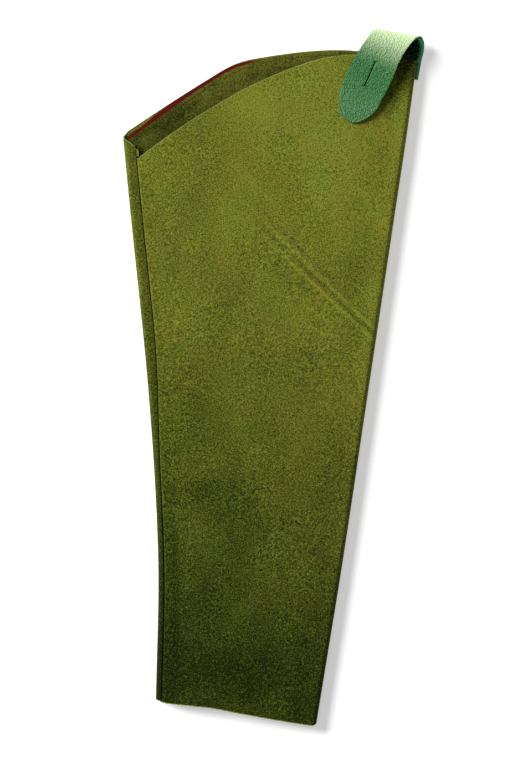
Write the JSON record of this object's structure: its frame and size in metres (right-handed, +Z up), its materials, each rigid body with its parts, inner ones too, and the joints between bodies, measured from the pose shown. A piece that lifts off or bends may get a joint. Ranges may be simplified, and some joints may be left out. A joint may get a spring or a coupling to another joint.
{
  "type": "chainsaw chap leg",
  "caption": "One leg of split-leather saw chaps, laid flat: folded leather shell, padded front with cut-protection layers, and a curled belt tab with a slit.",
  "frame": {"origin": "on the floor, under the middle of the leg as it lies flat", "axes": "+Y from the hem to the hip, along the leg; +Z up, through the flattened leg; +X towards the outseam fold"},
  "size_m": [0.3902, 0.9052, 0.0296],
  "materials": {
    "outer_leather": "olive split suede",
    "lining_leather": "paler split suede",
    "protection_fabric": "dark red long-fibre knit",
    "tab_leather": "jade green pebbled strap leather",
    "sewing_thread": "olive bonded thread",
    "rivet_steel": "plain steel"
  },
  "bodies": {
    "leg": {"outer_shell": "outer_leather", "protection_layer_1": "protection_fabric", "protection_layer_2": "protection_fabric", "protection_layer_3": "protection_fabric", "protection_layer_4": "protection_fabric", "lining_lower": "lining_leather", "lining_upper": "lining_leather", "inseam_thread": "sewing_thread", "lap_thread_upper": "sewing_thread", "lap_thread_lower": "sewing_thread", "pad_thread_hem": "sewing_thread", "pad_thread_outseam": "sewing_thread", "pad_thread_top": "sewing_thread", "pad_thread_inseam": "sewing_thread", "belt_tab_base": "tab_leather", "tab_rivet_1": "rivet_steel", "tab_rivet_2": "rivet_steel", "tab_rivet_3": "rivet_steel", "tab_rivet_4": "rivet_steel", "tab_burr_1": "rivet_steel", "tab_burr_2": "rivet_steel", "tab_burr_3": "rivet_steel", "tab_burr_4": "rivet_steel"},
    "tab": {"belt_tab_flap": "tab_leather"}
  },
  "joints": [
    {"name": "tab_fold", "type": "hinge", "parent": "leg", "child": "tab", "pos_m": [0.16271, 0.44784, 0.01655], "axis": [-0.9869, 0.1616, 0], "range_deg": [0, 110]}
  ]
}
